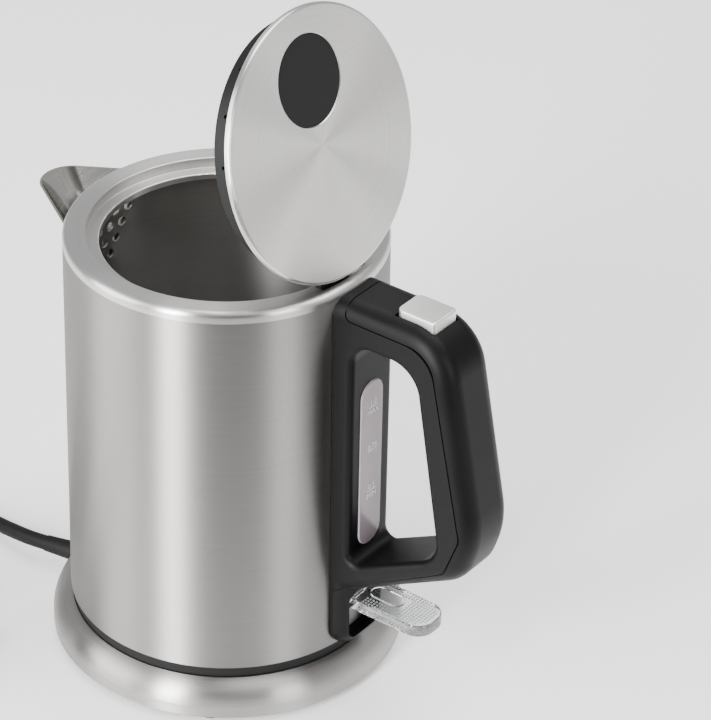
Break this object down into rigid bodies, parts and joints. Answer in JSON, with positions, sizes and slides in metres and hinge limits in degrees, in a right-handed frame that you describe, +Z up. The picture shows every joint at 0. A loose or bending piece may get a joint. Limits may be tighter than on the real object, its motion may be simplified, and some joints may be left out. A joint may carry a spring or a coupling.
{
  "type": "electric kettle",
  "caption": "Cordless electric jug kettle with a sprung lid, spout, handle with water gauge, lid button and switch lever, on a round base with a lead.",
  "frame": {"origin": "on the base's axis, at the surface that its feet stand on", "axes": "+Z up along the base's axis, +X towards the handle, spout at -X"},
  "size_m": [0.3355, 0.1978, 0.2928],
  "materials": {
    "brushed_steel": "brushed",
    "black_plastic": "satin",
    "black_rubber": "matt",
    "silicone": "matt",
    "clear_plastic": "clear",
    "satin_silver": "satin silver",
    "aluminium": "cast",
    "brass": "plain",
    "plated_steel": "plated"
  },
  "bodies": {
    "base": {"base_shell": "brushed_steel", "base_chassis": "black_plastic", "base_deck": "black_plastic", "base_feet": "black_rubber", "base_screws": "plated_steel", "base_socket": "black_plastic", "socket_contacts": "brass", "cord_gland": "black_rubber", "cord_clamp": "black_plastic", "cord_lead": "black_rubber", "cord_coil": "black_rubber", "cord_tail": "black_rubber", "cord_tie": "black_rubber", "plug_body": "black_plastic", "plug_pins": "plated_steel"},
    "swivel": {"socket_shutter": "black_plastic"},
    "kettle": {"body_shell": "brushed_steel", "bottom_cover": "black_plastic", "bottom_screws": "plated_steel", "button_spring": "plated_steel", "connector_contacts": "brass", "control_screws": "plated_steel", "control_unit": "black_plastic", "floor_plate": "brushed_steel", "gauge_seals": "silicone", "gauge_window": "clear_plastic", "handle_cover": "black_plastic", "handle_frame": "black_plastic", "handle_screws": "plated_steel", "heat_spreader": "aluminium", "heating_element": "plated_steel", "hinge_bracket": "black_plastic", "hinge_pin": "plated_steel", "kettle_connector": "black_plastic", "lid_spring": "plated_steel", "rim_collar": "brushed_steel", "rocker_pin": "plated_steel", "spout": "brushed_steel", "steam_tube": "brushed_steel", "supply_wires": "black_rubber", "switch_pin": "plated_steel"},
    "lid": {"lid_cover": "brushed_steel", "lid_insert": "black_plastic", "lid_frame": "black_plastic", "lid_inner_plate": "brushed_steel", "lid_seal": "silicone", "lid_screws": "plated_steel"},
    "button": {"release_button": "satin_silver"},
    "latch": {"latch_slider": "black_plastic"},
    "lever": {"switch_lever": "clear_plastic"},
    "rocker": {"trip_rocker": "black_plastic"}
  },
  "joints": [
    {"name": "kettle_swivel", "type": "hinge", "parent": "base", "child": "swivel", "pos_m": [0, 0, 0], "axis": [0, 0, 1], "continuous": true},
    {"name": "kettle_lift", "type": "slide", "parent": "swivel", "child": "kettle", "axis": [0, 0, 1], "range_m": [0, 0.12]},
    {"name": "lid_hinge", "type": "hinge", "parent": "kettle", "child": "lid", "pos_m": [0.0579, 0, 0.185], "axis": [0, 1, 0], "range_deg": [-74, 0], "stiffness_Nm_per_rad": 0.05, "springref_deg": 68.75},
    {"name": "button_press", "type": "slide", "parent": "kettle", "child": "button", "axis": [0, 0, -1], "range_m": [0, 0.003], "stiffness_N_per_m": 300, "springref_m": -0.004, "deforming": ["button_spring"]},
    {"name": "latch_slide", "type": "slide", "parent": "kettle", "child": "latch", "axis": [1, 0, 0], "range_m": [0, 0.003]},
    {"name": "switch_tip", "type": "hinge", "parent": "kettle", "child": "lever", "pos_m": [0.0684, 0, 0.0444], "axis": [0, 1, 0], "range_deg": [0, 12], "stiffness_Nm_per_rad": 0.05, "springref_deg": -11.46},
    {"name": "rocker_tip", "type": "hinge", "parent": "kettle", "child": "rocker", "pos_m": [0.052, 0, 0.0444], "axis": [0, 1, 0], "range_deg": [-21, 0]}
  ],
  "couplings": [
    {"joint": "latch_slide", "follows": "button_press", "ratio": 1},
    {"joint": "rocker_tip", "follows": "switch_tip", "ratio": -1.6}
  ]
}
